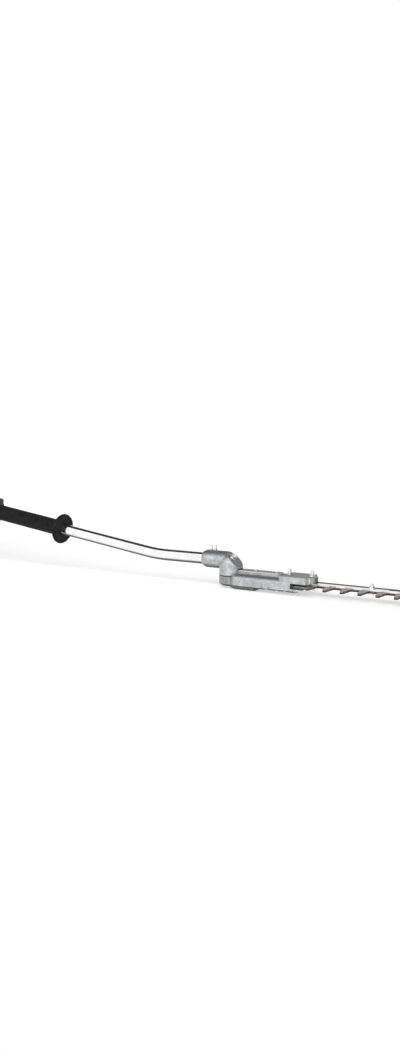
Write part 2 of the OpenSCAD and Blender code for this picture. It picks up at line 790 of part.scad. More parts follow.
module crankcase_front() color("Silver") on_shaft() intersection() {
    crankcase();
    span_u([700, cyl_u], [-80, 80], [-80, 80]);
}

module crankcase_rear() color("Silver") on_shaft() intersection() {
    crankcase();
    span_u([cyl_u, 850], [-80, 80], [-80, 80]);
}

module crankshaft() color("SlateGray") on_shaft() {
    bar_u(702, 759, 6);
    bar_u(758.5, 766, 27);
    bar_u(786, 793.5, 27);
    bar_u(793, 826, 6);
}

module connecting_rod() color("LightSlateGray") on_shaft() difference() {
    union() {
        translate([0, 0, pin_w]) bar_u(cyl_u - 4, cyl_u + 4, 9);
        translate([0, 0, wrist_w]) bar_u(cyl_u - 4, cyl_u + 4, 7);
        span_u([cyl_u - 3, cyl_u + 3], [-4, 4], [pin_w + 3, wrist_w - 3]);
        translate([0, 0, pin_w]) bar_u(766.4, 785.6, 5);
    }
    translate([0, 0, wrist_w]) bar_u(cyl_u - 5, cyl_u + 5, 4);
}

module piston() color("LightGray") on_shaft() difference() {
    translate([-cyl_u, 0, 68]) cylinder(r = bore_r - 0.07, h = 26);
    translate([-cyl_u, 0, 67]) cylinder(r = bore_r - 3, h = 21);
    for (w = [86.5, 90]) translate([-cyl_u, 0, w]) ring(bore_r + 1, bore_r - 1.2, 1.2);
    translate([0, 0, wrist_w]) bar_u(cyl_u - 20, cyl_u + 20, 4);
}

module wrist_pin() color("Silver") on_shaft() translate([0, 0, wrist_w])
    bar_u(cyl_u - 15.5, cyl_u + 15.5, 4);

module cylinder_fins() for (k = [0 : 8])
    soft_u([cyl_u - 28, cyl_u + 28], [-31, 31], [46 + 6.4 * k, 48 + 6.4 * k], 0.9);

module engine_cylinder() color("Gray") on_shaft() difference() {
    union() {
        translate([-cyl_u, 0, cyl_base]) cylinder(r = 21, h = cyl_top - cyl_base);
        span_u([cyl_u - 26, cyl_u + 26], [-27, 27], [cyl_base, cyl_base + 6]);
        cylinder_fins();
        span_u([cyl_u - 13, cyl_u + 13], [-36, 36], [50, 72]);
    }
    translate([-cyl_u, 0, cyl_base - 1]) cylinder(r = bore_r, h = 63);
    translate([-cyl_u, 0, 90]) cylinder(r = 5, h = 20);
    for (s = [-1, 1]) translate([-cyl_u, s * 15, 60]) rotate([-s * 90, 0, 0]) cylinder(r = 7, h = 30);
}

module spark_plug() color("White") on_shaft() translate([-cyl_u, 0, 0]) {
    translate([0, 0, 97]) cylinder(r = 5, h = 8);
    translate([0, 0, cyl_top]) cylinder(r = 8, h = 7, $fn = 6);
    translate([0, 0, cyl_top + 6]) cylinder(r = 4.6, h = 16);
}

module plug_boot() color("Black") on_shaft() difference() {
    union() {
        translate([-cyl_u, 0, cyl_top + 8]) cylinder(r = 8, h = 22);
        translate([-cyl_u, 0, cyl_top + 30]) sphere(8);
        translate([0, 0, 131]) bar_u(758, cyl_u, 5.5);
    }
    translate([-cyl_u, 0, cyl_top + 7]) cylinder(r = 4.6, h = 15);
    translate([0, 0, 131]) bar_u(757, 760, 2.4);
}

module muffler() color("DarkGray") on_shaft() difference() {
    union() {
        soft_u([748, 808], [-80, -38], [30, 84], 8);
        translate([-cyl_u, -36, 60]) rotate([90, 0, 0]) cylinder(r = 11, h = 4);
        for (w = [38, 76]) soft_u([746.6, 810], [-81, -60], [w - 1, w + 1], 0.8);
        translate([-796, -79, 44]) rotate([90, 0, 0]) cylinder(r = 6, h = 7);
    }
    soft_u([750, 806], [-78, -40], [32, 82], 6);
    translate([-cyl_u, -30, 60]) rotate([90, 0, 0]) cylinder(r = 7, h = 14);
    translate([-796, -70, 44]) rotate([90, 0, 0]) cylinder(r = 4.5, h = 20);
    for (k = [0 : 4]) span_u([756 + 7 * k, 759 + 7 * k], [-90, -76], [54, 72]);
}

module carburettor() color("Silver") on_shaft() difference() {
    union() {
        translate([-cyl_u, 36, 60]) rotate([-90, 0, 0]) cylinder(r = 11, h = 8);
        soft_u([cyl_u - 17, cyl_u + 17], [44, 72], [42, 78], 4);
        soft_u([cyl_u - 14, cyl_u + 14], [46, 70], [36, 44], 3);
        translate([0, 57, 46]) bar_u(cyl_u - 24, cyl_u - 10, 3.4);
    }
    translate([-cyl_u, 30, 60]) rotate([-90, 0, 0]) cylinder(r = 7, h = 50);
    translate([0, 57, 46]) bar_u(cyl_u - 30, cyl_u - 10, 2.5);
    translate([0, 62, 66]) bar_u(750, 767, 2.2 + fit);
    translate([-cyl_u, 58, 30]) cylinder(r = 9.5, h = 11.6);
}

hose_route = [[-cyl_u, 42, tank_top + 0.6], [-cyl_u, 42, -42], [-764, 45, -6], [-748, 57, 32],
    [-747, 57, 46], [-756, 57, 46]];

module fuel_hose() color("Black") on_shaft() run(hose_route, 2.5);

module air_filter() color("Khaki") on_shaft() difference() {
    soft_u([750, 802], [73, 90], [36, 88], 6);
    translate([-cyl_u, 72, 60]) rotate([-90, 0, 0]) cylinder(r = 8, h = 8);
}

module filter_cover() color("DarkSlateGray") on_shaft() difference() {
    soft_u([744, 808], [72, 98], [30, 94], 10);
    soft_u([747, 805], [60, 95], [33, 91], 7);
    for (w = [44, 54, 64, 74]) span_u([752, 790], [94, 100], [w, w + 3]);
}

module choke_lever() color("Red") on_shaft() translate([-736, 62, 66]) {
    rotate([0, 90, 0]) cylinder(r = 5, h = 4);
    span([0.5, -2.5, 0], [3.5, 2.5, 22]);
    translate([-30, 0, 0]) rotate([0, 90, 0]) cylinder(r = 2.2, h = 31);
}

module primer_bulb() color("Khaki") on_shaft() translate([-cyl_u, 58, 36]) mirror([0, 0, 1]) {
    translate([0, 0, gap]) cylinder(r = 9, h = 2);
    translate([0, 0, gap + 1.5]) intersection() {
        sphere(8);
        cylinder(r = 9, h = 9);
    }
}

module engine_cover() color("DarkSlateGray") on_shaft() difference() {
    soft_u([741, 811], [-37, 37], [44, 122], 14);
    soft_u([744, 808], [-34, 34], [20, 119], 11);
    span_u([740, 812], [-40, 40], [40, 50]);
    bar_u(700, 746.4, 53.4);
    span_u([760, 792], [-50, 50], [40, 76]);
    translate([-cyl_u, 0, 100]) cylinder(r = 14, h = 60);
    for (k = [0 : 6]) span_u([749 + 8 * k, 753 + 8 * k], [-50, 50], [84, 106]);
    for (w = [62 : 9 : 107]) span_u([805, 815], [-24, 24], [w, w + 4]);
    for (w = [62 : 9 : 107]) span_u([735, 746], [6, 26], [w, w + 4]);
}

module starter_housing() color("DarkSlateGray") on_shaft() difference() {
    union() {
        bar_u(806, 842, 47);
        cone_u(842, 847, 47, 41);
        translate([-828, 0, 40]) cylinder(r = 11, h = 10);
    }
    bar_u(805, 842, 43.5);
    translate([-828, 0, 36]) cylinder(r = 4, h = 20);
    for (a = [0 : 24 : 336]) rotate([a, 0, 0]) span_u([840, 850], [-3, 3], [16, 38]);
}

module starter_pulley() color("White") on_shaft() difference() {
    union() {
        bar_u(819, 838, 8);
        bar_u(820, 836, 30);
    }
    bar_u(818, 827, 6.3);
    translate([-832, 0, 0]) rotate([0, 90, 0]) ring(31, 25, 8);
}

module starter_grip() color("Black") on_shaft() translate([-828, 0, 0]) {
    translate([0, 0, 50.4]) cylinder(r1 = 9, r2 = 6, h = 8);
    translate([0, 0, 44]) cylinder(r = 3.6, h = 7);
    translate([0, -19, 63]) rotate([-90, 0, 0]) cylinder(r = 6.5, h = 38);
    for (y = [-19, 19]) translate([0, y, 63]) sphere(6.5);
}

module fuel_tank() color("Ivory") on_shaft() difference() {
    union() {
        soft_u([716, 818], [-tank_half, tank_half], [tank_top - tank_h, tank_top], 14);
        span_u([748, 804], [-26, 26], [tank_top - 2, -36]);
        translate([-742, 40, cap_w]) rotate([-90, 0, 0]) cylinder(r = 15, h = 14);
        translate([-cyl_u, 42, tank_top - 1]) cylinder(r = 4.2, h = 6);
    }
    translate([-cyl_u, 42, tank_top + 0.5]) cylinder(r = 2.5, h = 6);
    soft_u([719, 815], [3 - tank_half, tank_half - 3], [tank_top - tank_h + 3, tank_top - 3], 11);
    translate([-742, 38, cap_w]) rotate([-90, 0, 0]) cylinder(r = 12, h = 20);
}

module fuel_cap() color("Black") on_shaft() translate([-742, 0, cap_w]) rotate([-90, 0, 0]) {
    translate([0, 0, 46]) cylinder(r = 11.6, h = 10);
    translate([0, 0, 54.4]) cylinder(r = 19, h = 10);
    for (a = [0 : 30 : 330]) rotate(a) translate([19, 0, 54.4]) cylinder(r = 1.8, h = 9);
    translate([-15, -2.5, 64]) cube([30, 5, 4]);
}

// the stand fills the wedge between the sloping tank and the ground
module stand() color("DarkSlateGray") intersection() {
    machine() translate([stand_x, 0, 0]) difference() {
        union() {
            translate([-34, -38, 0]) linear_extrude(100) rounded(76, 76, 8);
            translate([-38, -46, 0]) linear_extrude(4) rounded(84, 92, 8);
        }
        translate([-34, -38, 4]) linear_extrude(100) rounded(76, 76, 4);
        span([-20, -60, 14], [28, 60, 44]);
        span([-60, -24, 14], [60, 24, 44]);
    }
    on_shaft() span_u([600, 900], [-100, 100], [-300, tank_top - tank_h]);
}

// ---------- output ----------

main_tube();
shaft_liner();
flex_core();
front_grip();
gear_case_upper();
gear_case_lower();
case_screws();
short_screws();
grease_plug();
bevel_pinion();
gear_bearings();
bevel_gear();
counter_shaft();
cam_gear();
cam_bearings();
cam_cover();
upper_blade();
lower_blade();
guide_bar();
blade_bolts();
hex_nuts();
bar_studs();
nose_plate();
handle_left();
handle_right();
handle_screws();
throttle_trigger();
trigger_lockout();
stop_switch();
throttle_cable();
clutch_housing();
clutch_drum();
clutch_shoes();
flywheel();
fan_housing();
ignition_coil();
crankcase_front();
crankcase_rear();
engine_bearings();
crankshaft();
connecting_rod();
piston();
wrist_pin();
engine_cylinder();
spark_plug();
plug_boot();
muffler();
carburettor();
fuel_hose();
air_filter();
filter_cover();
choke_lever();
primer_bulb();
engine_cover();
starter_housing();
starter_pulley();
starter_grip();
fuel_tank();
fuel_cap();
stand();
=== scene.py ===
"""Hedge trimmer: finishes, soft pieces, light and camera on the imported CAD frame.

The scene is in metres. Shaft coordinates, and values whose name ends in _mm, are in millimetres.
"""
import math

import bmesh
import bpy
from mathutils import Matrix, Vector, noise


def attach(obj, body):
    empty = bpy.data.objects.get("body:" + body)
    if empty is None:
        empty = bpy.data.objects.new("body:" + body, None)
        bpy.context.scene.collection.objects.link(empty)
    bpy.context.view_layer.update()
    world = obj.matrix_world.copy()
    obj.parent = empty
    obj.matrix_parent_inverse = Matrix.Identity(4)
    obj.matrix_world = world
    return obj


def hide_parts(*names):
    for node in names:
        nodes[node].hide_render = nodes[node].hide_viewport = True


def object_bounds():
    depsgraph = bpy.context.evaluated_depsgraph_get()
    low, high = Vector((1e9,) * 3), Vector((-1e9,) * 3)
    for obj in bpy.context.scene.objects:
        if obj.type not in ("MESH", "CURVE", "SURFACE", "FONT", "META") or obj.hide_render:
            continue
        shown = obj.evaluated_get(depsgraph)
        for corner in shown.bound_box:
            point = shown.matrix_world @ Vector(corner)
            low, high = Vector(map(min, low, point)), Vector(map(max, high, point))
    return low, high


MM = 0.001

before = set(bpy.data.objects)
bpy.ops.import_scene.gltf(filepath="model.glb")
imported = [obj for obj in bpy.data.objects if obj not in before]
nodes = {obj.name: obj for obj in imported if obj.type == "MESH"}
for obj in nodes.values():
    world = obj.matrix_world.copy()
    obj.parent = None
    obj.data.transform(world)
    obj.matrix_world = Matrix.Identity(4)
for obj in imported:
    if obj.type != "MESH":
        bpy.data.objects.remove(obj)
cad_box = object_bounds()
scene = bpy.context.scene

X_AXIS, Y_AXIS, Z_AXIS = (1.0, 0.0, 0.0), (0.0, 1.0, 0.0), (0.0, 0.0, 1.0)
DOWN = (0.0, 0.0, -1.0)
# level, 30 degrees from +X towards +Y: to the right in the photo, whose darker faces look that way
# faces turned this way get painted shade in bright_plating and cast_alloy
PHOTO_RIGHT = (0.87, 0.50, 0.0)
# a height under the floor, where masks that take in everything below a level start
UNDER_ALL = -0.01

# ---------- the shaft's own axes, as the CAD has them ----------

SHAFT_RISE = math.radians(8.4)
SHAFT_ORIGIN = Vector((-26.349, -6.0, 56.0)) * MM
BACK = Vector((-math.cos(SHAFT_RISE), 0.0, math.sin(SHAFT_RISE)))
SIDE = Vector((0.0, 1.0, 0.0))
LIFT = Vector((math.sin(SHAFT_RISE), 0.0, math.cos(SHAFT_RISE)))


def on_shaft(u, y, w):
    """The point u behind the bend, y to the side and w above the shaft's axis, all in millimetres."""
    return SHAFT_ORIGIN + (BACK * u + SIDE * y + LIFT * w) * MM


# ---------- camera and light ----------

ANCHOR = Vector((41.251, -6.0, 56.0)) * MM
YAW = math.radians(30.0)
PITCH = math.radians(6.687)
LENS_MM = 28.05
CAMERA_RIGHT_M, CAMERA_UP_M, CAMERA_BACK_M = 0.03468, 0.06632, 1.7747
FLOOR_HALF_M = 60.0
FLOOR_DROP_M = 0.0004
FLOOR_TONE = (0.60, 0.60, 0.60, 1.0)
FLOOR_GLOW = 0.52
SUN_STRENGTH = 1.6
SUN_SPREAD = math.radians(70.0)
SUN_TILT, SUN_TURN = math.radians(52.0), math.radians(18.0)
WHITE = (1.0, 1.0, 1.0, 1.0)


def aim(right, up, forward, place):
    """A matrix that looks along forward from place."""
    turn = Matrix((right, up, -forward)).transposed().to_4x4()
    return Matrix.Translation(place) @ turn


def make_camera():
    right = Vector((math.cos(YAW), math.sin(YAW), 0.0))
    ahead = Vector((-math.sin(YAW), math.cos(YAW), 0.0))
    forward = ahead * math.cos(PITCH) - Vector((0.0, 0.0, 1.0)) * math.sin(PITCH)
    up = right.cross(forward)
    place = ANCHOR + right * CAMERA_RIGHT_M + up * CAMERA_UP_M - forward * CAMERA_BACK_M
    data = bpy.data.cameras.new("camera")
    data.lens = LENS_MM
    data.sensor_width = 36.0
    data.clip_start = 0.01
    data.clip_end = 200.0
    camera = bpy.data.objects.new("camera", data)
    camera.matrix_world = aim(right, up, forward, place)
    scene.collection.objects.link(camera)
    scene.camera = camera


# the studio is white except for one dark band overhead, behind the machine
BAND_MIDDLE = math.radians(68.5)
BAND_HALF = math.radians(30.0)
BAND_SOFT = math.radians(3.0)
ROOM_STRENGTH, BAND_STRENGTH = 1.08, 0.04


def make_world():
    """White room with a dark band overhead, which the polished parts show as a thin dark line."""
    world = bpy.data.worlds.new("studio")
    scene.world = world
    world.use_nodes = True
    tree = world.node_tree
    background = tree.nodes["Background"]
    background.inputs["Color"].default_value = WHITE
    coords = tree.nodes.new("ShaderNodeTexCoord")
    flat = tree.nodes.new("ShaderNodeVectorMath")
    flat.operation = "MULTIPLY"
    flat.inputs[1].default_value = (0.0, 1.0, 1.0)
    unit = tree.nodes.new("ShaderNodeVectorMath")
    unit.operation = "NORMALIZE"
    dot = tree.nodes.new("ShaderNodeVectorMath")
    dot.operation = "DOT_PRODUCT"
    dot.inputs[1].default_value = (0.0, math.cos(BAND_MIDDLE), math.sin(BAND_MIDDLE))
    shade = tree.nodes.new("ShaderNodeMapRange")
    shade.inputs["From Min"].default_value = math.cos(BAND_HALF + BAND_SOFT)
    shade.inputs["From Max"].default_value = math.cos(BAND_HALF)
    shade.inputs["To Min"].default_value = ROOM_STRENGTH
    shade.inputs["To Max"].default_value = BAND_STRENGTH
    tree.links.new(coords.outputs["Generated"], flat.inputs[0])
    tree.links.new(flat.outputs[0], unit.inputs[0])
    tree.links.new(unit.outputs[0], dot.inputs[0])
    tree.links.new(dot.outputs["Value"], shade.inputs["Value"])
    tree.links.new(shade.outputs["Result"], background.inputs["Strength"])


def make_lights():
    sun = bpy.data.lights.new("soft_key", "SUN")
    sun.energy = SUN_STRENGTH
    sun.angle = SUN_SPREAD
    lamp = bpy.data.objects.new("soft_key", sun)
    lamp.rotation_euler = (SUN_TILT, 0.0, SUN_TURN)
    scene.collection.objects.link(lamp)


def make_floor():
    mesh = bpy.data.meshes.new("floor")
    h, z = FLOOR_HALF_M, cad_box[0][2] - FLOOR_DROP_M
    mesh.from_pydata([(-h, -h, z), (h, -h, z), (h, h, z), (-h, h, z)], [], [(0, 1, 2, 3)])
    floor = bpy.data.objects.new("floor", mesh)
    scene.collection.objects.link(floor)
    material = bpy.data.materials.new("pale_floor")
    material.use_nodes = True
    shader = material.node_tree.nodes["Principled BSDF"]
    shader.inputs["Base Color"].default_value = FLOOR_TONE
    shader.inputs["Emission Color"].default_value = WHITE
    shader.inputs["Emission Strength"].default_value = FLOOR_GLOW
    shader.inputs["Roughness"].default_value = 0.9
    mesh.materials.append(material)


# ---------- finishes ----------

class Finish:
    """A material under way: its nodes, and short ways to wire them.

    Coordinates are the object's, in metres.
    """

    def __init__(self, name, colour, roughness, **sockets):
        self.material = bpy.data.materials.new(name)
        self.material.use_nodes = True
        self.tree = self.material.node_tree
        self.shader = self.tree.nodes["Principled BSDF"]
        self.coords = self.add("ShaderNodeTexCoord").outputs["Object"]
        self.shader.inputs["Base Color"].default_value = (*colour, 1.0)
        self.shader.inputs["Roughness"].default_value = roughness
        for socket, value in sockets.items():
            self.shader.inputs[socket.replace("_", " ")].default_value = value

    def add(self, kind, **values):
        node = self.tree.nodes.new(kind)
        for key, value in values.items():
            setattr(node, key, value)
        return node

    def wire(self, value, socket):
        """Links an output to socket, or sets the socket to a plain number or colour."""
        if isinstance(value, bpy.types.NodeSocket):
            self.tree.links.new(value, socket)
        elif isinstance(value, tuple):
            socket.default_value = (*value, 1.0)
        else:
            socket.default_value = value

    def stretched(self, stretch):
        if stretch is None:
            return self.coords
        scale = self.add("ShaderNodeVectorMath", operation="MULTIPLY")
        self.wire(self.coords, scale.inputs[0])
        scale.inputs[1].default_value = stretch
        return scale.outputs[0]

    def noise(self, size_mm, detail=3.0, stretch=None, rough=0.55):
        """Smooth noise, 0 to 1, whose blotches are about size_mm across."""
        node = self.add("ShaderNodeTexNoise")
        self.wire(self.stretched(stretch), node.inputs["Vector"])
        node.inputs["Scale"].default_value = 1.0 / (size_mm * MM)
        node.inputs["Detail"].default_value = detail
        node.inputs["Roughness"].default_value = rough
        return node.outputs["Fac"]

    def cells(self, size_mm):
        """0 in the middle of each cell, rising outwards; cells are about size_mm across."""
        node = self.add("ShaderNodeTexVoronoi", feature="F1")
        self.wire(self.coords, node.inputs["Vector"])
        node.inputs["Scale"].default_value = 1.0 / (size_mm * MM)
        return node.outputs["Distance"]

    def scale(self, value, low, high, start=0.35, end=0.65):
        """value from start to end becomes low to high, and stays inside them."""
        node = self.add("ShaderNodeMapRange")
        self.wire(value, node.inputs["Value"])
        node.inputs["From Min"].default_value = start
        node.inputs["From Max"].default_value = end
        node.inputs["To Min"].default_value = low
        node.inputs["To Max"].default_value = high
        return node.outputs["Result"]

    def part(self, mask, share):
        """A 0 to 1 mask, brought down to 0 to share."""
        return self.scale(mask, 0.0, share, 0.0, 1.0)

    def sum(self, operation, a, b):
        """a and b joined by a math operation, such as ADD or MULTIPLY."""
        node = self.add("ShaderNodeMath", operation=operation)
        self.wire(a, node.inputs[0])
        self.wire(b, node.inputs[1])
        return node.outputs[0]

    def mix(self, factor, a, b):
        """Colour a where factor is 0 and b where it is 1."""
        node = self.add("ShaderNodeMix", data_type="RGBA")
        self.wire(factor, node.inputs["Factor"])
        self.wire(a, node.inputs["A"])
        self.wire(b, node.inputs["B"])
        return node.outputs["Result"]

    def along(self, axis, low, high, soft_mm=0.1):
        """1 where the coordinate along axis is between low and high, in metres from the origin."""
        dot = self.add("ShaderNodeVectorMath", operation="DOT_PRODUCT")
        self.wire(self.coords, dot.inputs[0])
        dot.inputs[1].default_value = axis
        value = dot.outputs["Value"]
        rise = self.scale(value, 0.0, 1.0, low, low + soft_mm * MM)
        fall = self.scale(value, 1.0, 0.0, high, high + soft_mm * MM)
        return self.sum("MULTIPLY", rise, fall)

    def edges(self, radius_mm):
        """1 on outer and inner edges and 0 on flat faces, and the softened normal."""
        full, none = 1.0 - 0.12, 0.998
        bevel = self.add("ShaderNodeBevel", samples=4)
        bevel.inputs["Radius"].default_value = radius_mm * MM
        flat = self.add("ShaderNodeNewGeometry").outputs["Normal"]
        dot = self.add("ShaderNodeVectorMath", operation="DOT_PRODUCT")
        self.wire(bevel.outputs[0], dot.inputs[0])
        self.wire(flat, dot.inputs[1])
        return self.scale(dot.outputs["Value"], 1.0, 0.0, full, none), bevel.outputs[0]

    def facing_up(self, low, high):
        """1 where the object's own normal leans between low and high towards +Z or -Z."""
        normal = self.add("ShaderNodeTexCoord").outputs["Normal"]
        split = self.add("ShaderNodeSeparateXYZ")
        self.wire(normal, split.inputs[0])
        lean = self.sum("ABSOLUTE", split.outputs["Z"], 0.0)
        over = self.scale(lean, 0.0, 1.0, low - 0.02, low)
        under = self.scale(lean, 1.0, 0.0, high, high + 0.02)
        return self.sum("MULTIPLY", over, under)

    def level(self, low, high, towards=Z_AXIS):
        """0 to 1 as the object's own normal turns from low to high towards a direction."""
        normal = self.add("ShaderNodeTexCoord").outputs["Normal"]
        dot = self.add("ShaderNodeVectorMath", operation="DOT_PRODUCT")
        self.wire(normal, dot.inputs[0])
        dot.inputs[1].default_value = towards
        return self.scale(dot.outputs["Value"], 0.0, 1.0, low, high)

    def corners(self, reach_mm):
        """1 in tight corners and under overhangs, 0 in the open."""
        shadow = self.add("ShaderNodeAmbientOcclusion", samples=4)
        shadow.inputs["Distance"].default_value = reach_mm * MM
        return self.scale(shadow.outputs["AO"], 1.0, 0.0, 0.25, 0.80)

    def dull(self, mask):
        """Matt and non-metallic where mask is 1, so that a colour darkened there stays dark. Returns the
        roughness to add.
        """
        self.wire(self.scale(mask, 1.0, 0.0, 0.0, 1.0), self.shader.inputs["Metallic"])
        self.wire(self.scale(mask, 0.5, 0.02, 0.0, 1.0), self.shader.inputs["Specular IOR Level"])
        return self.part(mask, 0.5)

    def bump(self, height, depth_mm, strength=1.0, normal=None):
        node = self.add("ShaderNodeBump")
        self.wire(height, node.inputs["Height"])
        node.inputs["Distance"].default_value = depth_mm * MM
        node.inputs["Strength"].default_value = strength
        if normal is not None:
            self.wire(normal, node.inputs["Normal"])
        return node.outputs["Normal"]

    def finish(self, colour, roughness, normal):
        self.wire(colour, self.shader.inputs["Base Color"])
        self.wire(roughness, self.shader.inputs["Roughness"])
        self.wire(normal, self.shader.inputs["Normal"])
        return self.material


# stretches of the coordinates that draw noise out into grain along X, or leave it as it is
ALONG_X = (0.04, 1.0, 1.0)
NO_GRAIN = (1.0, 1.0, 1.0)


def polished_tube():
    """Polished and drawn lengthways, duller underneath, with painted shade darkening the underside."""
    f = Finish("polished_tube", (0.8, 0.8, 0.8), 0.2, Metallic=1.0)
    lines = f.noise(0.5, 4.0, stretch=(0.01, 1.0, 1.0))
    blotch = f.noise(26.0, 3.0)
    spots = f.noise(3.0, 5.0, rough=0.7)
    under = f.level(0.35, 0.62, DOWN)
    colour = f.mix(f.scale(blotch, 0.0, 1.0), (0.84, 0.84, 0.845), (0.92, 0.92, 0.92))
    colour = f.mix(f.scale(spots, 0.0, 0.30, 0.60, 0.75), colour, (0.60, 0.60, 0.60))
    # painted shade: the underside of the tube is darkened
    colour = f.mix(under, colour, (0.10, 0.10, 0.10))
    roughness = f.sum("ADD", f.scale(lines, 0.05, 0.10), f.scale(spots, 0.0, 0.06))
    roughness = f.sum("ADD", roughness, f.dull(under))
    return f.finish(colour, roughness, f.bump(lines, 0.006, 0.6))


def bright_plating(name, grain=ALONG_X, dark_from_mm=None):
    """Bright plated steel with grain, darkened in part.

    With a distance in millimetres, all beyond it along +Y is darkened; without one, the faces turned to
    PHOTO_RIGHT get painted shade.
    """
    low, high = (0.80, 0.80, 0.80), (0.88, 0.88, 0.88)
    f = Finish(name, low, 0.25, Metallic=1.0)
    lines = f.noise(0.35, 4.0, stretch=grain)
    blotch = f.noise(7.0, 4.0)
    edge, soft = f.edges(0.35)
    colour = f.mix(f.scale(blotch, 0.0, 1.0), low, high)
    colour = f.mix(f.scale(edge, 0.0, 0.6, 0.2, 1.0), colour, (0.95, 0.95, 0.95))
    if dark_from_mm is None:
        # painted shade on the faces turned to PHOTO_RIGHT
        film = f.level(0.55, 0.80, PHOTO_RIGHT)
        colour = f.mix(f.part(film, 0.9), colour, (0.05, 0.05, 0.05))
    else:
        # darkened beyond the given distance along +Y
        film = f.along(Y_AXIS, dark_from_mm * MM, 0.1, soft_mm=2.0)
        colour = f.mix(film, colour, (0.05, 0.05, 0.05))
    blotch = f.sum("ADD", blotch, f.dull(film))
    roughness = f.sum("ADD", f.scale(lines, 0.16, 0.30), f.scale(blotch, 0.0, 0.10))
    return f.finish(colour, roughness, f.bump(lines, 0.008, 0.6, soft))


# the gear case's column along X, in metres, and marks on the case in millimetres from its seam
COLUMN_FROM, COLUMN_TO = 0.10, 0.172
JOINT_BELOW_MM, JOINT_ABOVE_MM, LIP_DROP_MM = 0.3, 2.0, 15.6


def cast_alloy(name, dark=(0.22, 0.225, 0.23), light=(0.58, 0.585, 0.59), seam=None):
    """Bead-blasted casting: clouded sides and bare edges, with painted shade on the tops, in corners,
    underneath and on faces turned to PHOTO_RIGHT.

    With seam, its height in millimetres, the column's joint line and the lip are darkened, and the
    column's foot gets painted shade.
    """
    f = Finish(name, light, 0.5, Metallic=0.6)
    # colours of the painted shade on the tops
    top_dark, top_light = (0.11, 0.11, 0.115), tuple(2.2 * c for c in (0.11, 0.11, 0.115))
    cloud = f.noise(14.0, 5.0, rough=0.62)
    mottle = f.noise(2.6, 4.0, rough=0.6)
    grain = f.noise(0.55, 3.0)
    edge, soft = f.edges(0.9)
    shade = f.sum("ADD", f.scale(cloud, 0.0, 0.5), f.scale(mottle, 0.0, 0.5))
    colour = f.mix(shade, dark, light)
    upper = f.mix(f.scale(mottle, 0.0, 1.0), top_dark, top_light)
    # painted shade: the tops are darker
    colour = f.mix(f.level(0.40, 0.72), colour, upper)
    # painted shade: the undersides are darker
    colour = f.mix(f.level(0.35, 0.80, DOWN), colour, (0.07, 0.07, 0.072))
    # painted shade on the faces turned to PHOTO_RIGHT
    colour = f.mix(f.level(0.78, 0.98, PHOTO_RIGHT), colour, (0.10, 0.10, 0.10))
    colour = f.mix(f.scale(edge, 0.0, 0.75, 0.25, 1.0), colour, (0.82, 0.82, 0.82))
    # painted shade in corners and under overhangs
    colour = f.mix(f.part(f.corners(4.0), 0.9), colour, (0.05, 0.05, 0.05))
    if seam is not None:
        low, high = (seam - JOINT_BELOW_MM) * MM, (seam + JOINT_ABOVE_MM) * MM
        on_column = f.along(X_AXIS, COLUMN_FROM, COLUMN_TO, soft_mm=4.0)
        # painted shade on the column's foot, below the seam
        foot = f.sum("MULTIPLY", f.along(Z_AXIS, UNDER_ALL, seam * MM), on_column)
        colour = f.mix(f.part(foot, 0.5), colour, (0.14, 0.14, 0.14))
        joint_line = f.along(Z_AXIS, low, high, soft_mm=0.4)
        colour = f.mix(f.sum("MULTIPLY", joint_line, on_column), colour, (0.03, 0.03, 0.03))
        lip = f.along(Z_AXIS, UNDER_ALL, (seam - LIP_DROP_MM) * MM, soft_mm=0.8)
        colour = f.mix(f.part(lip, 0.8), colour, (0.06, 0.06, 0.06))
    roughness = f.sum("ADD", f.scale(mottle, 0.40, 0.52), f.scale(edge, 0.0, -0.10))
    height = f.sum("ADD", f.scale(grain, 0.0, 0.5, 0.2, 0.8), f.scale(mottle, 0.0, 1.0, 0.2, 0.8))
    return f.finish(colour, roughness, f.bump(height, 0.12, 0.55, soft))


def blade_steel(name, dark, light):
    """Hardened blade: brownish oil film on the flats, bare steel where the teeth are ground."""
    f = Finish(name, light, 0.3, Metallic=1.0)
    cloud = f.noise(6.0, 5.0, rough=0.65)
    lines = f.noise(0.3, 3.0, stretch=(0.05, 1.0, 1.0))
    cross = f.noise(0.25, 3.0, stretch=(1.0, 0.06, 1.0))
    ground = f.facing_up(0.55, 0.97)
    edge, soft = f.edges(0.18)
    colour = f.mix(f.scale(cloud, 0.0, 1.0), dark, light)
    colour = f.mix(ground, colour, (0.80, 0.79, 0.78))
    colour = f.mix(f.scale(edge, 0.0, 0.7, 0.2, 1.0), colour, (0.85, 0.85, 0.85))
    height = f.mix(ground, lines, cross)
    roughness = f.sum("ADD", f.scale(cloud, 0.22, 0.38), f.scale(lines, 0.0, 0.08))
    return f.finish(colour, roughness, f.bump(height, 0.01, 0.7, soft))


def dark_steel(name, dark=(0.10, 0.10, 0.105), light=(0.23, 0.23, 0.235), smooth=0.28):
    """Clouded steel with brighter edges; smooth is the roughness of its glossiest patches."""
    f = Finish(name, light, 0.35, Metallic=1.0)
    cloud = f.noise(5.0, 5.0, rough=0.65)
    fine = f.noise(0.4, 3.0)
    edge, soft = f.edges(0.3)
    colour = f.mix(f.scale(cloud, 0.0, 1.0), dark, light)
    colour = f.mix(f.scale(edge, 0.0, 0.7, 0.2, 1.0), colour, (0.50, 0.50, 0.50))
    roughness = f.sum("ADD", f.scale(cloud, smooth, smooth + 0.16), f.scale(fine, 0.0, 0.08))
    return f.finish(colour, roughness, f.bump(fine, 0.02, 0.5, soft))


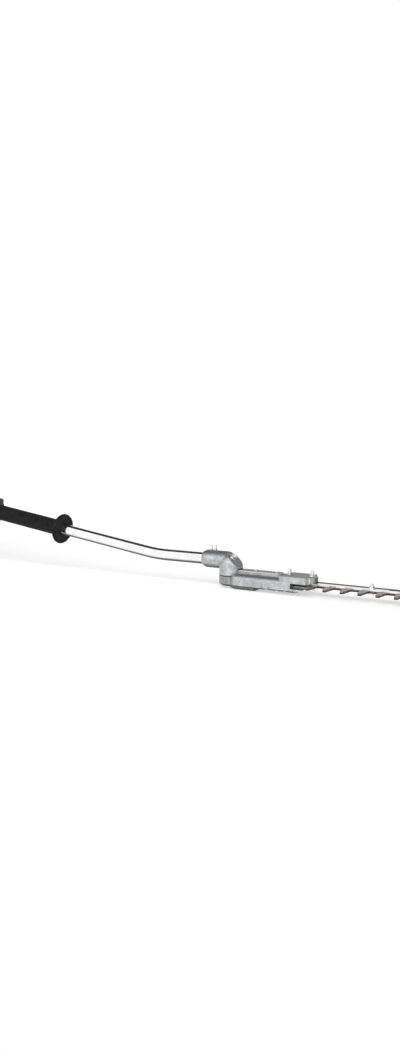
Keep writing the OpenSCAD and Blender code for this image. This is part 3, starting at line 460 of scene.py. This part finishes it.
def foam(name, dark, light, cell_mm=1.1):
    """Matt foam or felt with open pores about cell_mm across."""
    f = Finish(name, dark, 0.9, Sheen_Weight=0.04, Sheen_Roughness=0.5, Specular_IOR_Level=0.10)
    cloud = f.noise(12.0, 4.0)
    cells = f.cells(cell_mm)
    fine = f.noise(0.5, 4.0, rough=0.7)
    pores = f.scale(cells, 1.0, 0.0, 0.05, 0.45)
    shade = f.sum("ADD", f.scale(cloud, 0.0, 0.5), f.scale(fine, 0.0, 0.5))
    colour = f.mix(shade, dark, light)
    # painted shade in the pores
    colour = f.mix(f.scale(pores, 0.0, 0.45), colour, tuple(0.4 * c for c in dark))
    height = f.sum("SUBTRACT", f.scale(fine, 0.0, 0.6, 0.2, 0.8), pores)
    return f.finish(colour, f.scale(fine, 0.78, 0.98), f.bump(height, 0.22, 0.8))


def moulded(name, dark, light, grain_mm=0.55, rough=0.46, depth_mm=0.05):
    """Textured moulded plastic: leather-like grain, cloudy gloss and paler rubbed edges."""
    f = Finish(name, dark, rough, Specular_IOR_Level=0.45)
    cloud = f.noise(22.0, 4.0)
    grain = f.cells(grain_mm)
    fine = f.noise(0.3, 2.0)
    edge, soft = f.edges(0.6)
    rub = f.noise(4.0, 4.0, rough=0.7)
    worn = f.sum("MULTIPLY", f.scale(edge, 0.0, 1.0, 0.3, 1.0), f.scale(rub, 0.1, 0.8, 0.40, 0.62))
    colour = f.mix(f.scale(cloud, 0.0, 1.0), dark, light)
    colour = f.mix(worn, colour, (0.16, 0.16, 0.16))
    roughness = f.sum("ADD", f.scale(cloud, rough - 0.06, rough + 0.06), f.part(worn, -0.12))
    height = f.sum("ADD", f.scale(grain, 0.0, 0.8, 0.1, 0.7), f.scale(fine, 0.0, 0.2))
    return f.finish(colour, roughness, f.bump(height, depth_mm, 0.6, soft))


def rubber(name, dark=(0.010, 0.010, 0.011), light=(0.024, 0.024, 0.025), shine=0.4):
    """Black rubber; shine sets its gloss and how much dust and edge wear show."""
    f = Finish(name, dark, 0.6, Specular_IOR_Level=shine)
    cloud = f.noise(9.0, 4.0)
    dust = f.noise(1.2, 4.0, rough=0.7)
    edge, soft = f.edges(0.5)
    colour = f.mix(f.scale(cloud, 0.0, 1.0), dark, light)
    colour = f.mix(f.scale(dust, 0.0, 0.5 * shine, 0.52, 0.75), colour, (0.10, 0.095, 0.09))
    colour = f.mix(f.scale(edge, 0.0, 0.5 * shine, 0.3, 1.0), colour, (0.07, 0.07, 0.07))
    roughness = f.scale(dust, 0.50, 0.74)
    return f.finish(colour, roughness, f.bump(dust, 0.04, 0.6, soft))


def coloured_plastic(name, dark, light):
    """Glossy coloured plastic, paler on its edges."""
    f = Finish(name, dark, 0.35, Specular_IOR_Level=0.5, Coat_Weight=0.15, Coat_Roughness=0.2)
    cloud = f.noise(6.0, 4.0)
    fine = f.noise(0.4, 3.0)
    edge, soft = f.edges(0.4)
    colour = f.mix(f.scale(cloud, 0.0, 1.0), dark, light)
    pale = tuple(min(1.0, 0.25 + 0.8 * c) for c in light)
    colour = f.mix(f.scale(edge, 0.0, 0.45, 0.3, 1.0), colour, pale)
    return f.finish(colour, f.scale(cloud, 0.28, 0.42), f.bump(fine, 0.02, 0.5, soft))


STAIN_TOP = 0.105  # height of the fuel stain, in metres
INSULATOR_W = 110.2  # where the plug's shell ends and its insulator begins, above the shaft's axis


def tank_plastic(name):
    """Milky moulded plastic, a little yellow where fuel has stood."""
    f = Finish(name, (0.72, 0.70, 0.62), 0.4, Subsurface_Weight=0.25, Subsurface_Scale=0.006)
    cloud = f.noise(18.0, 4.0)
    fine = f.noise(0.7, 3.0)
    stain = f.along(Z_AXIS, UNDER_ALL, STAIN_TOP, soft_mm=6.0)
    edge, soft = f.edges(0.7)
    colour = f.mix(f.scale(cloud, 0.0, 1.0), (0.66, 0.65, 0.58), (0.76, 0.75, 0.69))
    colour = f.mix(f.part(stain, 0.5), colour, (0.64, 0.55, 0.36))
    colour = f.mix(f.scale(edge, 0.0, 0.4, 0.3, 1.0), colour, (0.85, 0.84, 0.80))
    return f.finish(colour, f.scale(cloud, 0.32, 0.46), f.bump(fine, 0.03, 0.5, soft))


def spark_plug_finish():
    """White glazed insulator above the plated steel shell."""
    f = Finish("plug_shell_and_glaze", (0.85, 0.85, 0.83), 0.2)
    above = SHAFT_ORIGIN.dot(LIFT) + INSULATOR_W * MM
    glaze = f.along(tuple(LIFT), above, above + 0.05)
    mottle = f.noise(1.5, 4.0)
    shell = f.mix(f.scale(mottle, 0.0, 1.0), (0.45, 0.45, 0.44), (0.66, 0.66, 0.64))
    white = f.mix(f.scale(mottle, 0.0, 1.0), (0.80, 0.80, 0.77), (0.88, 0.88, 0.86))
    edge, soft = f.edges(0.3)
    f.wire(f.scale(glaze, 1.0, 0.0, 0.0, 1.0), f.shader.inputs["Metallic"])
    colour = f.mix(glaze, shell, white)
    roughness = f.sum("SUBTRACT", f.scale(mottle, 0.24, 0.36), f.part(glaze, 0.12))
    return f.finish(colour, roughness, f.bump(mottle, 0.02, 0.4, soft))


def soot_steel():
    """Muffler: matt heat-proof black, browned and rusty where it is thin."""
    f = Finish("muffler_black", (0.05, 0.045, 0.04), 0.7, Metallic=0.6)
    cloud = f.noise(11.0, 5.0, rough=0.65)
    rust = f.noise(2.2, 5.0, rough=0.75)
    edge, soft = f.edges(0.6)
    colour = f.mix(f.scale(cloud, 0.0, 1.0), (0.035, 0.033, 0.032), (0.10, 0.085, 0.075))
    colour = f.mix(f.scale(rust, 0.0, 0.6, 0.56, 0.72), colour, (0.17, 0.075, 0.035))
    colour = f.mix(f.scale(edge, 0.0, 0.5, 0.3, 1.0), colour, (0.22, 0.18, 0.15))
    return f.finish(colour, f.scale(rust, 0.55, 0.80), f.bump(rust, 0.06, 0.6, soft))


def clear_rubber():
    """Yellowed see-through rubber of the primer bulb."""
    f = Finish("primer_rubber", (0.62, 0.60, 0.50), 0.25, Transmission_Weight=0.45, IOR=1.42)
    cloud = f.noise(4.0, 3.0)
    edge, soft = f.edges(0.4)
    colour = f.mix(f.scale(cloud, 0.0, 1.0), (0.60, 0.56, 0.42), (0.74, 0.71, 0.58))
    colour = f.mix(f.scale(edge, 0.0, 0.4, 0.3, 1.0), colour, (0.85, 0.83, 0.75))
    return f.finish(colour, f.scale(cloud, 0.18, 0.30), f.bump(cloud, 0.03, 0.5, soft))


def paint(material, *names):
    """Puts material on the CAD nodes of those names."""
    for name in names:
        slots = nodes[name].material_slots
        if not slots:
            nodes[name].data.materials.append(material)
        for slot in nodes[name].material_slots:
            slot.link = "OBJECT"
            slot.material = material


def paint_all():
    paint(polished_tube(), "main_tube")
    paint(bright_plating("bright_bar", dark_from_mm=-8.0), "guide_bar")
    paint(bright_plating("bright_fasteners", NO_GRAIN), "hex_nuts", "short_screws", "grease_plug",
          "blade_bolts", "bar_studs")
    paint(bright_plating("nose_trim", NO_GRAIN), "nose_plate")
    paint(cast_alloy("cover_casting", (0.50, 0.50, 0.50), (0.66, 0.66, 0.66)), "cam_cover")
    paint(cast_alloy("case_casting", seam=25.0), "gear_case_upper", "gear_case_lower")
    paint(cast_alloy("engine_casting", (0.38, 0.38, 0.38), (0.56, 0.56, 0.56)),
          "clutch_housing", "crankcase_front", "crankcase_rear", "engine_cylinder", "carburettor",
          "piston", "flywheel")
    paint(blade_steel("upper_blade_steel", (0.050, 0.040, 0.034), (0.31, 0.28, 0.255)), "upper_blade")
    # painted shade: the lower blade's steel is coloured darker than the upper blade's
    paint(blade_steel("lower_blade_steel_shaded", (0.030, 0.026, 0.024), (0.085, 0.070, 0.060)), "lower_blade")
    paint(dark_steel("black_screws", (0.03, 0.03, 0.032), (0.08, 0.08, 0.085)),
          "case_screws", "handle_screws")
    paint(dark_steel("oiled_gears"), "bevel_pinion", "bevel_gear", "counter_shaft", "cam_gear")
    paint(dark_steel("bearing_steel", (0.30, 0.30, 0.30), (0.45, 0.45, 0.45), 0.18),
          "gear_bearings", "cam_bearings", "engine_bearings", "crankshaft", "connecting_rod",
          "wrist_pin")
    paint(dark_steel("clutch_steel", (0.16, 0.15, 0.14), (0.30, 0.29, 0.28)),
          "clutch_drum", "clutch_shoes", "flex_core")
    paint(soot_steel(), "muffler")
    paint(moulded("black_housing", (0.014, 0.014, 0.015), (0.024, 0.024, 0.025)),
          "fan_housing", "filter_cover", "engine_cover", "starter_housing", "starter_grip",
          "fuel_cap", "stand", "ignition_coil")
    paint(moulded("handle_plastic", (0.018, 0.018, 0.019), (0.030, 0.030, 0.031), 0.8, 0.52, 0.08),
          "handle_left", "handle_right")
    paint(moulded("lever_plastic", (0.022, 0.022, 0.023), (0.034, 0.034, 0.035), 0.4, 0.38, 0.02),
          "throttle_trigger", "trigger_lockout")
    paint(rubber("cover_rubber"), "plug_boot")
    paint(coloured_plastic("red_controls", (0.46, 0.022, 0.015), (0.60, 0.035, 0.02)),
          "stop_switch", "choke_lever")
    paint(tank_plastic("tank_plastic"), "fuel_tank")
    paint(coloured_plastic("white_nylon", (0.62, 0.61, 0.57), (0.72, 0.71, 0.68)),
          "starter_pulley", "shaft_liner")
    paint(clear_rubber(), "primer_bulb")
    paint(spark_plug_finish(), "spark_plug")


# ---------- pieces that take the place of CAD nodes ----------

def link_piece(name, mesh, material, body="machine"):
    """A smooth-shaded piece of that mesh in the scene, riding on body."""
    for face in mesh.polygons:
        face.use_smooth = True
    mesh.materials.append(material)
    piece = bpy.data.objects.new(name, mesh)
    scene.collection.objects.link(piece)
    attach(piece, body)
    return piece


def lathe(name, profile, segments, wobble):
    """A closed ring round the shaft's axis: profile is a closed loop of (u, radius) in millimetres."""
    mesh = bpy.data.meshes.new(name)
    points, faces = [], []
    count = len(profile)
    for k in range(segments):
        turn = 2.0 * math.pi * k / segments
        for u, radius in profile:
            r = radius + wobble(u, radius, turn)
            points.append(on_shaft(u, r * math.sin(turn), r * math.cos(turn)))
    for k in range(segments):
        for i in range(count):
            a, b = k * count + i, k * count + (i + 1) % count
            c, d = (b + count) % len(points), (a + count) % len(points)
            faces.append((a, b, c, d))
    mesh.from_pydata(points, [], faces)
    mesh.update()
    return mesh


BORE_MM = 12.72  # radius of the bore of sleeve and stop, a hair over the tube's
STOP_U, STOP_T, STOP_R = 265.0, 11.0, 35.5  # the stop flange: front face, thickness, radius
GRIP_R, GRIP_END = 18.75, 473.5  # the foam sleeve: radius, rear end
SLEEVE_ROWS, SLEEVE_SIDES, STOP_SIDES = 190, 112, 128


def arc(centre_u, centre_r, radius, start, end, steps):
    """Points of an arc in the profile plane; angle 0 points back along the shaft and 90 outwards."""
    angles = [math.radians(start + (end - start) * i / steps) for i in range(steps + 1)]
    return [(centre_u + radius * math.cos(a), centre_r + radius * math.sin(a)) for a in angles]


def foam_wobble(u, radius, turn):
    """Foam skin: slow unevenness and fine pitting, only inwards so that it keeps its CAD size."""
    if radius < BORE_MM + 0.5:
        return 0.0
    at = Vector((u * 0.9, radius * math.sin(turn) * 0.9, radius * math.cos(turn) * 0.9))
    slow = noise.noise(at * 0.05) * 0.18
    fine = noise.noise(at * 0.75) * 0.10
    return -0.28 + slow + fine


def make_grip(material):
    """The foam sleeve, one of the two pieces in place of the plain CAD grip."""
    start = STOP_U + STOP_T
    length = GRIP_END - start - 13.0
    sleeve = [(start + 9.0 + length * i / SLEEVE_ROWS, GRIP_R) for i in range(SLEEVE_ROWS + 1)]
    tail = arc(GRIP_END - 3.2, GRIP_R - 3.2, 3.2, 90.0, 0.0, 6)
    profile = [(start + 0.6, GRIP_R), (start + 3.0, GRIP_R), (start + 6.0, GRIP_R)]
    profile += sleeve + tail + [(GRIP_END, BORE_MM), (start + 0.6, BORE_MM)]
    mesh = lathe("grip_sleeve", profile, SLEEVE_SIDES, foam_wobble)
    piece = link_piece("grip_sleeve", mesh, material)
    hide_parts("front_grip")


def make_stop(material):
    """The moulded stop flange in front of the sleeve, with a round rim and a fillet to its collar."""
    back = STOP_U + STOP_T
    middle = STOP_U + STOP_T / 2.0
    rim = arc(middle, STOP_R - STOP_T / 2.0, STOP_T / 2.0, 175.0, 5.0, 12)
    fillet = arc(back + 6.2, GRIP_R + 6.4, 6.0, 180.0, 262.0, 8)
    profile = [(STOP_U, BORE_MM), (STOP_U, 16.0), (STOP_U + 0.4, 20.0), (STOP_U + 0.4, 30.0)]
    profile += rim + [(back - 0.1, 27.5)] + fillet
    profile += [(back + 8.4, GRIP_R + 0.12), (back + 0.5, GRIP_R + 0.12), (back + 0.5, BORE_MM)]
    mesh = lathe("grip_stop", profile, STOP_SIDES, lambda u, radius, turn: 0.0)
    piece = link_piece("grip_stop", mesh, material)
    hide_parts("front_grip")


def smooth_route(points, rounds=3):
    """Cuts the corners of a route, keeping its two ends."""
    for _ in range(rounds):
        softer = [points[0]]
        for a, b in zip(points, points[1:]):
            softer += [a.lerp(b, 0.25), a.lerp(b, 0.75)]
        points = softer + [points[-1]]
    return points


def sweep(name, points, radius_mm, sides=20):
    """A round tube along points, with closed ends."""
    work = bmesh.new()
    ahead = (points[1] - points[0]).normalized()
    side = ahead.orthogonal().normalized()
    turns = [2.0 * math.pi * k / sides for k in range(sides)]
    rings = []
    for i, point in enumerate(points):
        before, after = points[max(i - 1, 0)], points[min(i + 1, len(points) - 1)]
        ahead = (after - before).normalized()
        side = (side - ahead * side.dot(ahead)).normalized()
        up = ahead.cross(side)
        spokes = [side * math.cos(turn) + up * math.sin(turn) for turn in turns]
        rings.append([work.verts.new(point + spoke * radius_mm * MM) for spoke in spokes])
    for low, high in zip(rings, rings[1:]):
        for k in range(sides):
            work.faces.new((low[k], low[(k + 1) % sides], high[(k + 1) % sides], high[k]))
    work.faces.new(rings[0][::-1])
    work.faces.new(rings[-1])
    mesh = bpy.data.meshes.new(name)
    work.to_mesh(mesh)
    work.free()
    return mesh


# the CAD runs of the two lines, as (u, y, w) on the shaft, and the radius of both
CABLE_ROUTE = ((636.9, 16, 14), (664, 34, 20), (692, 51, 28),
               (744, 51, 28), (752, 51, 60), (758.9, 51, 60))
HOSE_ROUTE = ((776, 42, -53.4), (776, 42, -42), (764, 45, -6),
              (748, 57, 32), (747, 57, 46), (756, 57, 46))
LINE_R_MM = 2.5


def make_lines():
    """Throttle cable and fuel hose, with the corners of their CAD runs rounded."""
    material = rubber("line_rubber")
    lines = (("cable_sheath", "throttle_cable", CABLE_ROUTE), ("fuel_line", "fuel_hose", HOSE_ROUTE))
    for name, node, route in lines:
        points = smooth_route([on_shaft(*p) for p in route])
        piece = link_piece(name, sweep(name, points, LINE_R_MM), material)
        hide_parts(node)


# the felt block inside the filter cover, in shaft coordinates, and its pleats
FILTER_U, FILTER_W = (750.5, 801.5), (36.5, 87.5)
FILTER_INNER, FILTER_OUTER = 73.2, 89.6
PLEATS, PLEAT_DEPTH = 11, 2.4


def make_filter():
    """Pleated felt element inside the filter cover."""
    columns, rows = PLEATS * 8, 16
    size_u, size_w = FILTER_U[1] - FILTER_U[0], FILTER_W[1] - FILTER_W[0]
    work = bmesh.new()
    grid = {}

    def face(*corners):
        work.faces.new([grid[corner] for corner in corners])

    for side in (0, 1):
        for i in range(columns + 1):
            for j in range(rows + 1):
                across, height = i / columns, j / rows
                fold = PLEAT_DEPTH * (0.5 - 0.5 * math.cos(2.0 * math.pi * PLEATS * across))
                border = min(1.0, 8.0 * min(across, 1.0 - across, height, 1.0 - height))
                y = FILTER_OUTER - fold * border if side else FILTER_INNER
                place = on_shaft(FILTER_U[0] + size_u * across, y, FILTER_W[0] + size_w * height)
                grid[side, i, j] = work.verts.new(place)
    for i in range(columns):
        for j in range(rows):
            face((1, i, j), (1, i, j + 1), (1, i + 1, j + 1), (1, i + 1, j))
            face((0, i, j), (0, i + 1, j), (0, i + 1, j + 1), (0, i, j + 1))
    for i in range(columns):
        for j in (0, rows):
            face((0, i, j), (0, i + 1, j), (1, i + 1, j), (1, i, j))
    for j in range(rows):
        for i in (0, columns):
            face((0, i, j), (0, i, j + 1), (1, i, j + 1), (1, i, j))
    bmesh.ops.recalc_face_normals(work, faces=work.faces)
    mesh = bpy.data.meshes.new("filter_element")
    work.to_mesh(mesh)
    work.free()
    material = foam("filter_felt", (0.42, 0.37, 0.24), (0.56, 0.51, 0.36), 0.8)
    piece = link_piece("filter_element", mesh, material)
    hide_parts("air_filter")


# ---------- build ----------

make_camera()
make_world()
make_lights()
make_floor()
paint_all()
make_grip(foam("grip_foam", (0.003, 0.003, 0.003), (0.017, 0.017, 0.017)))
make_stop(rubber("stop_rubber", (0.003, 0.003, 0.003), (0.010, 0.010, 0.010), 0.15))
make_lines()
make_filter()

scene.view_settings.view_transform = "Standard"
